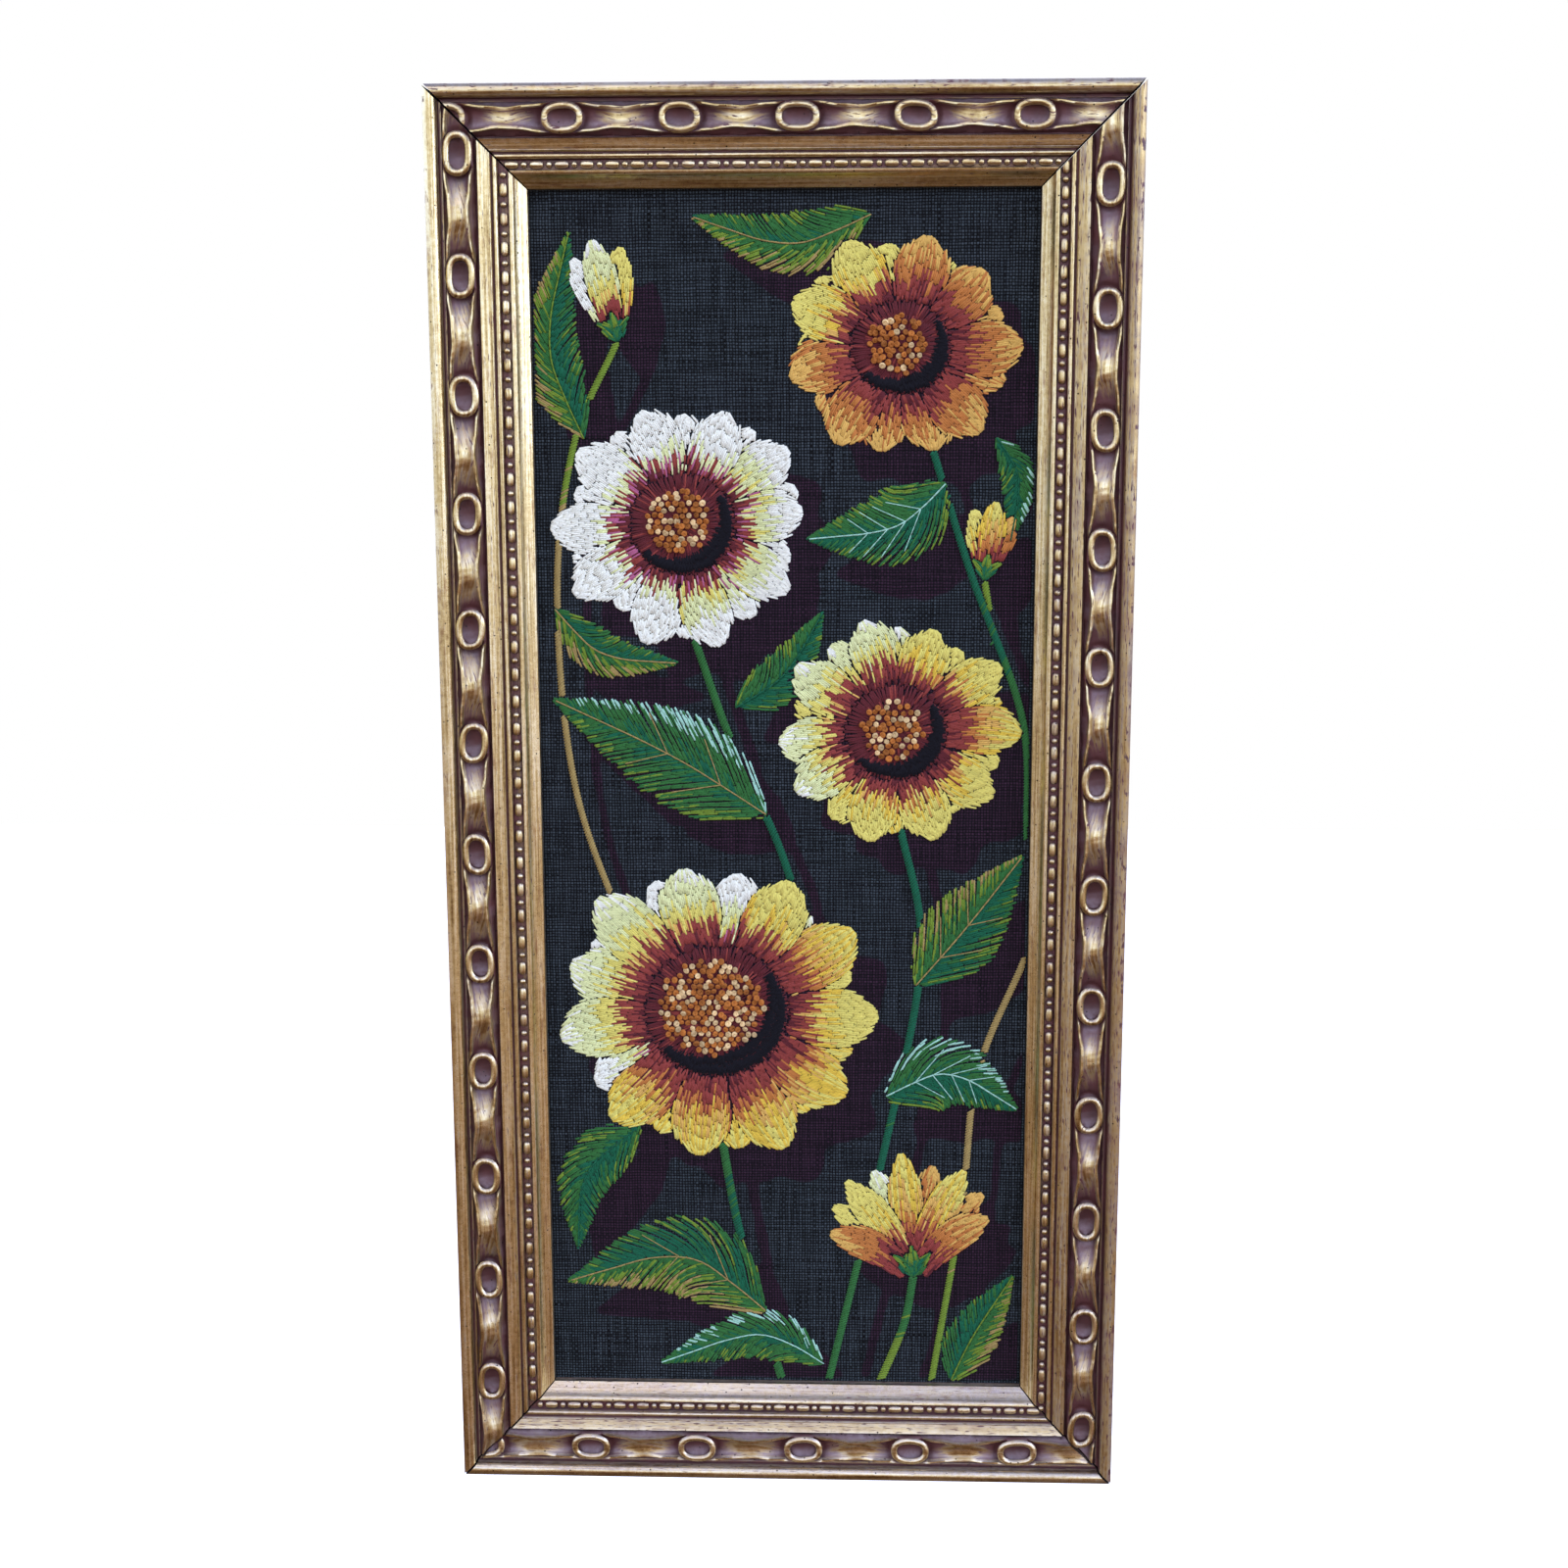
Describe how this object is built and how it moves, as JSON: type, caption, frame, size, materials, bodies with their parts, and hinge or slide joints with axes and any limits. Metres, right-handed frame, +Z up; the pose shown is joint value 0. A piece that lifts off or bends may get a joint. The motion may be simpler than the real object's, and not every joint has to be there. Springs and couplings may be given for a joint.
{
  "type": "framed embroidered picture",
  "caption": "Tall narrow picture of crewel flowers worked in wool on dark linen, held in the rebate of a mitred gilt moulding with carved ribbon and oval rings, to hang on a wall.",
  "frame": {"origin": "on the flat back of the top rail, midway along it and across its back, 16 mm below the top edge", "axes": "+Z is up along the picture's height, +Y points out of its back towards the wall, and +X is to the right seen from the front"},
  "size_m": [0.276, 0.0239, 0.572],
  "materials": {
    "gilt_wood": "aged gilding over carved wood, with a dark umber patina in its hollows",
    "charcoal_linen": "plain weave, worked with coloured wool",
    "hardboard": "plain brown board"
  },
  "bodies": {
    "root": {"rail_top": "gilt_wood", "rail_bottom": "gilt_wood", "rail_left": "gilt_wood", "rail_right": "gilt_wood", "embroidered_cloth": "charcoal_linen", "mounting_board": "hardboard"}
  },
  "joints": []
}
